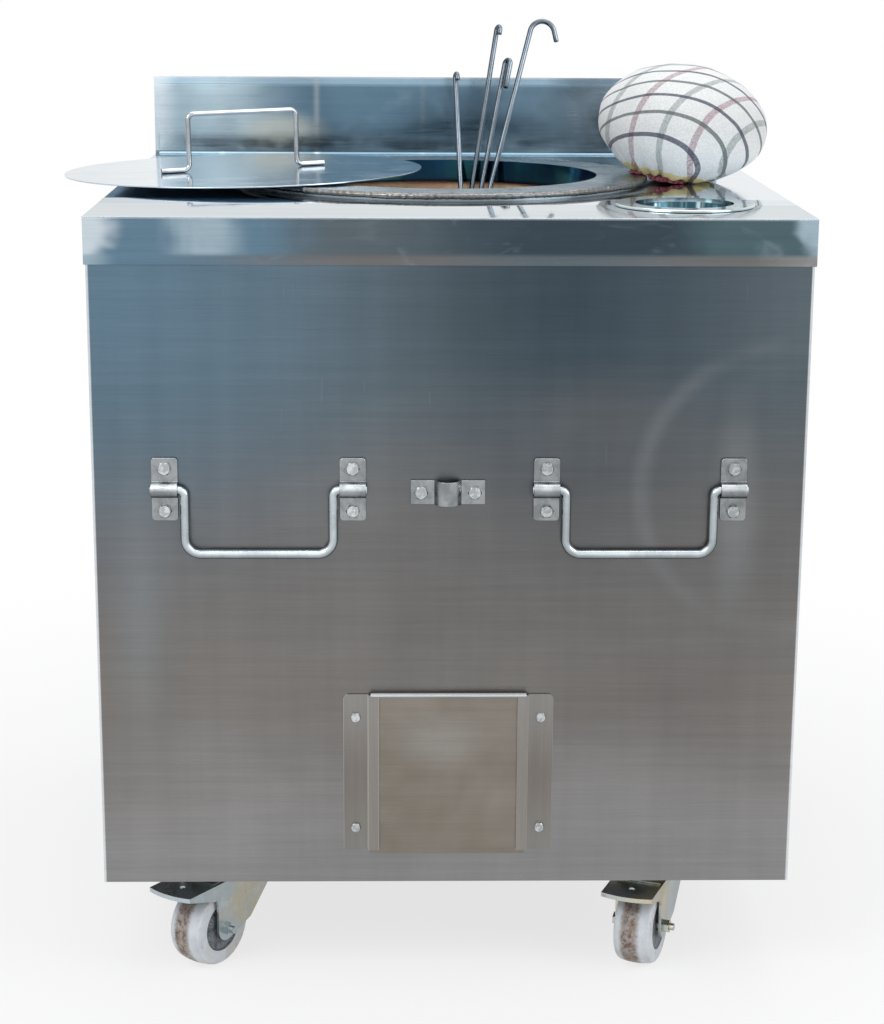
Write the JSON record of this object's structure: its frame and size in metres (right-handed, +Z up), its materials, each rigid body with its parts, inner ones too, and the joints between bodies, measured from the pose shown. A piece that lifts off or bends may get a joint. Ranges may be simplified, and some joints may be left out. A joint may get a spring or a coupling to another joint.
{
  "type": "tandoor",
  "caption": "Square steel tandoor cabinet on castors with a clay pot, a raised round mouth, a lift-off lid, a backsplash, drop handles and a sliding ash door.",
  "frame": {"origin": "on the floor, under the middle of the whole object's box", "axes": "+X to the cabinet's right as seen from its front, +Y to the back, +Z up"},
  "size_m": [0.8447, 0.7838, 1.0374],
  "materials": {
    "panel_steel": "brushed along the width, with soft uneven reflections",
    "worktop_steel": "brushed, brighter than the panels, scratched",
    "backsplash_steel": "brushed with fine scratches",
    "frame_steel": "dark primer on mild steel",
    "door_steel": "brushed, browned by heat",
    "handle_steel": "satin polished",
    "bolt_steel": "bright",
    "ring_steel": "blued and burnt by the fire",
    "weld_metal": "rough bead, brown beside it",
    "clay": "matte fired clay, sooty",
    "refractory": "matte cast bed",
    "insulation_wool": "packed mineral fill",
    "grate_iron": "sooty casting",
    "lid_steel": "polished, with fine scratches",
    "bowl_steel": "mirror polished",
    "rod_steel": "drawn rod, darkened by heat",
    "cushion_cloth": "plain weave cotton",
    "hem_cloth": "rolled and gathered cotton",
    "castor_zinc": "zinc plated with yellow tints",
    "wheel_nylon": "matte, with a brown band of dirt on the tread",
    "cap_plastic": "matte"
  },
  "bodies": {
    "cabinet": {"front_panel": "panel_steel", "left_panel": "panel_steel", "right_panel": "panel_steel", "rear_panel": "panel_steel", "base_plate": "frame_steel", "base_frame": "frame_steel", "corner_posts": "frame_steel", "worktop": "worktop_steel", "backsplash": "backsplash_steel", "mouth_ring": "ring_steel", "ring_weld": "weld_metal", "clay_pot": "clay", "pot_bed": "refractory", "insulation": "insulation_wool", "ash_duct": "frame_steel", "ash_grate": "grate_iron", "left_door_rail": "panel_steel", "right_door_rail": "panel_steel", "rail_bolts": "bolt_steel", "handle_bolts": "bolt_steel", "left_handle_brackets": "handle_steel", "right_handle_brackets": "handle_steel", "tool_loop": "handle_steel", "castor_bolts": "bolt_steel", "front_left_plate": "castor_zinc", "front_right_plate": "castor_zinc", "rear_left_plate": "castor_zinc", "rear_right_plate": "castor_zinc"},
    "ash_door": {"ash_door": "door_steel"},
    "left_handle": {"left_handle": "handle_steel"},
    "right_handle": {"right_handle": "handle_steel"},
    "lid": {"lid_disc": "lid_steel", "lid_handle": "handle_steel"},
    "water_bowl": {"water_bowl": "bowl_steel"},
    "short_skewer": {"short_skewer": "rod_steel"},
    "long_skewer": {"long_skewer": "rod_steel"},
    "narrow_hook": {"narrow_hook": "rod_steel"},
    "wide_hook": {"wide_hook": "rod_steel"},
    "cushion": {"cushion_cover": "cushion_cloth", "cushion_hem": "hem_cloth"},
    "front_left_swivel": {"front_left_fork": "castor_zinc", "front_left_axle": "castor_zinc"},
    "front_left_wheel": {"front_left_wheel": "wheel_nylon", "front_left_hub_caps": "cap_plastic"},
    "front_right_swivel": {"front_right_fork": "castor_zinc", "front_right_axle": "castor_zinc"},
    "front_right_wheel": {"front_right_wheel": "wheel_nylon", "front_right_hub_caps": "cap_plastic"},
    "rear_left_swivel": {"rear_left_fork": "castor_zinc", "rear_left_axle": "castor_zinc"},
    "rear_left_wheel": {"rear_left_wheel": "wheel_nylon", "rear_left_hub_caps": "cap_plastic"},
    "rear_right_swivel": {"rear_right_fork": "castor_zinc", "rear_right_axle": "castor_zinc"},
    "rear_right_wheel": {"rear_right_wheel": "wheel_nylon", "rear_right_hub_caps": "cap_plastic"},
    "front_left_brake": {"front_left_brake": "castor_zinc"},
    "front_right_brake": {"front_right_brake": "castor_zinc"}
  },
  "joints": [
    {"name": "ash_door_lift", "type": "slide", "parent": "cabinet", "child": "ash_door", "axis": [0, 0, 1], "range_m": [0, 0.16]},
    {"name": "left_handle_swing", "type": "hinge", "parent": "cabinet", "child": "left_handle", "pos_m": [-0.1729, -0.3741, 0.564], "axis": [-1, 0, 0], "range_deg": [0, 180]},
    {"name": "right_handle_swing", "type": "hinge", "parent": "cabinet", "child": "right_handle", "pos_m": [0.2321, -0.3741, 0.564], "axis": [-1, 0, 0], "range_deg": [0, 180]},
    {"name": "lid_lift", "type": "slide", "parent": "cabinet", "child": "lid", "axis": [0, 0, 1], "range_m": [0, 0.3]},
    {"name": "bowl_lift", "type": "slide", "parent": "cabinet", "child": "water_bowl", "axis": [0, 0, 1], "range_m": [0, 0.12]},
    {"name": "cushion_lift", "type": "slide", "parent": "cabinet", "child": "cushion", "axis": [0, 0, 1], "range_m": [0, 0.25]},
    {"name": "short_skewer_draw", "type": "slide", "parent": "cabinet", "child": "short_skewer", "axis": [-0.0433, 0.3869, 0.9211], "range_m": [0, 0.6]},
    {"name": "long_skewer_draw", "type": "slide", "parent": "cabinet", "child": "long_skewer", "axis": [0.1534, 0.1466, 0.9772], "range_m": [0, 0.6]},
    {"name": "narrow_hook_draw", "type": "slide", "parent": "cabinet", "child": "narrow_hook", "axis": [0.1854, 0.1834, 0.9654], "range_m": [0, 0.6]},
    {"name": "wide_hook_draw", "type": "slide", "parent": "cabinet", "child": "wide_hook", "axis": [0.247, 0.2394, 0.939], "range_m": [0, 0.6]},
    {"name": "front_left_swivel", "type": "hinge", "parent": "cabinet", "child": "front_left_swivel", "pos_m": [-0.2229, -0.2946, 0.1028], "axis": [0, 0, 1], "continuous": true},
    {"name": "front_left_roll", "type": "hinge", "parent": "front_left_swivel", "child": "front_left_wheel", "pos_m": [-0.23936, -0.31725, 0.046], "axis": [0.809, -0.5878, 0], "continuous": true},
    {"name": "front_left_brake_press", "type": "hinge", "parent": "front_left_swivel", "child": "front_left_brake", "pos_m": [-0.2423, -0.3213, 0.0973], "axis": [0.809, -0.5878, 0], "range_deg": [0, 10]},
    {"name": "front_right_swivel", "type": "hinge", "parent": "cabinet", "child": "front_right_swivel", "pos_m": [0.2631, -0.2946, 0.1028], "axis": [0, 0, 1], "continuous": true},
    {"name": "front_right_roll", "type": "hinge", "parent": "front_right_swivel", "child": "front_right_wheel", "pos_m": [0.25261, -0.32056, 0.046], "axis": [0.9272, -0.3746, 0], "continuous": true},
    {"name": "front_right_brake_press", "type": "hinge", "parent": "front_right_swivel", "child": "front_right_brake", "pos_m": [0.25074, -0.3252, 0.0973], "axis": [0.9272, -0.3746, 0], "range_deg": [0, 10]},
    {"name": "rear_left_swivel", "type": "hinge", "parent": "cabinet", "child": "rear_left_swivel", "pos_m": [-0.2229, 0.3164, 0.1028], "axis": [0, 0, 1], "continuous": true},
    {"name": "rear_left_roll", "type": "hinge", "parent": "rear_left_swivel", "child": "rear_left_wheel", "pos_m": [-0.21708, 0.34379, 0.046], "axis": [-0.9781, 0.2079, 0], "continuous": true},
    {"name": "rear_right_swivel", "type": "hinge", "parent": "cabinet", "child": "rear_right_swivel", "pos_m": [0.2631, 0.3164, 0.1028], "axis": [0, 0, 1], "continuous": true},
    {"name": "rear_right_roll", "type": "hinge", "parent": "rear_right_swivel", "child": "rear_right_wheel", "pos_m": [0.25633, 0.34357, 0.046], "axis": [-0.9703, -0.2419, 0], "continuous": true}
  ]
}
